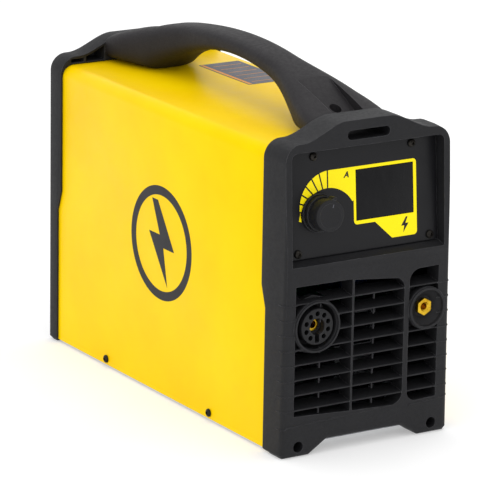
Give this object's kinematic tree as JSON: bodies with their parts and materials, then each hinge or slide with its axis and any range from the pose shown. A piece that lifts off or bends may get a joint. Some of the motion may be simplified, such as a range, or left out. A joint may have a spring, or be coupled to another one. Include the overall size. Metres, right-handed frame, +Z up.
{
  "type": "plasma cutter unit",
  "caption": "Portable plasma cutter power source: yellow sheet cover between black louvred bezels, arched carrying handle, tilted control fascia with dial and window, torch and work sockets.",
  "frame": {"origin": "on the floor under the middle of the whole outline", "axes": "+X to the right seen from the front, +Y from the front grille to the rear, +Z up"},
  "size_m": [0.157, 0.3898, 0.2899],
  "materials": {
    "black_plastic": "moulded, fine grain",
    "grip_plastic": "moulded, fine grain",
    "yellow_paint": "semi-gloss powder coat",
    "fascia_film": "satin film",
    "smoked_acrylic": "polished",
    "knob_plastic": "satin",
    "zinc_steel": "zinc plated",
    "black_screw": "black oxide",
    "brass": "machined",
    "nickel": "nickel plated",
    "aluminium": "extruded",
    "circuit_board": "solder mask",
    "ferrite": "sintered",
    "copper_winding": "enamelled wire",
    "capacitor_sleeve": "shrink sleeve",
    "hose_rubber": "smooth hose",
    "lead_rubber": "smooth"
  },
  "bodies": {
    "case": {"front_bezel": "black_plastic", "rear_bezel": "black_plastic", "carry_handle": "grip_plastic", "side_cover": "yellow_paint", "base_tray": "zinc_steel", "handle_plate_front": "zinc_steel", "handle_plate_rear": "zinc_steel", "control_fascia": "fascia_film", "display_window": "smoked_acrylic", "display_module": "ferrite", "control_board": "circuit_board", "encoder_body": "nickel", "encoder_nut": "nickel", "torch_socket": "black_plastic", "torch_insert": "knob_plastic", "torch_nipple": "brass", "torch_lock_nut": "black_plastic", "earth_socket": "black_plastic", "earth_contact": "brass", "earth_lock_nut": "black_plastic", "mains_switch_body": "black_plastic", "cable_gland": "black_plastic", "gland_nut": "black_plastic", "gland_lock_nut": "black_plastic", "air_fitting": "brass", "valve_body": "brass", "valve_coil": "ferrite", "fan_frame": "lead_rubber", "heat_sink_left": "aluminium", "heat_sink_right": "aluminium", "main_board": "circuit_board", "transformer_core": "ferrite", "transformer_winding": "copper_winding", "output_choke": "copper_winding", "bus_capacitor_1": "capacitor_sleeve", "bus_capacitor_2": "capacitor_sleeve", "bus_capacitor_3": "capacitor_sleeve", "air_hose": "hose_rubber", "earth_lead": "lead_rubber", "cover_screw_left_1": "black_screw", "cover_screw_right_1": "black_screw", "cover_screw_left_2": "black_screw", "cover_screw_right_2": "black_screw", "foot_screw_front_left": "black_screw", "foot_screw_front_right": "black_screw", "handle_screw_front": "black_screw", "foot_screw_rear_left": "black_screw", "foot_screw_rear_right": "black_screw", "handle_screw_rear": "black_screw", "fascia_screw_1": "nickel", "fascia_screw_2": "nickel", "fascia_screw_3": "nickel", "fascia_screw_4": "nickel"},
    "knob": {"current_knob": "knob_plastic", "encoder_shaft": "nickel"},
    "rocker": {"mains_rocker": "knob_plastic"},
    "rotor": {"fan_rotor": "knob_plastic"}
  },
  "joints": [
    {"name": "knob_turn", "type": "hinge", "parent": "case", "child": "knob", "pos_m": [-0.0416, -0.17607, 0.19062], "axis": [0, -0.9968, 0.0795], "range_deg": [-90, 180]},
    {"name": "mains_switch", "type": "hinge", "parent": "case", "child": "rocker", "pos_m": [0.042, 0.1725, 0.192], "axis": [1, 0, 0], "range_deg": [0, 22]},
    {"name": "fan_spin", "type": "hinge", "parent": "case", "child": "rotor", "pos_m": [0, 0.15571, 0.075], "axis": [0, 1, 0], "continuous": true}
  ]
}
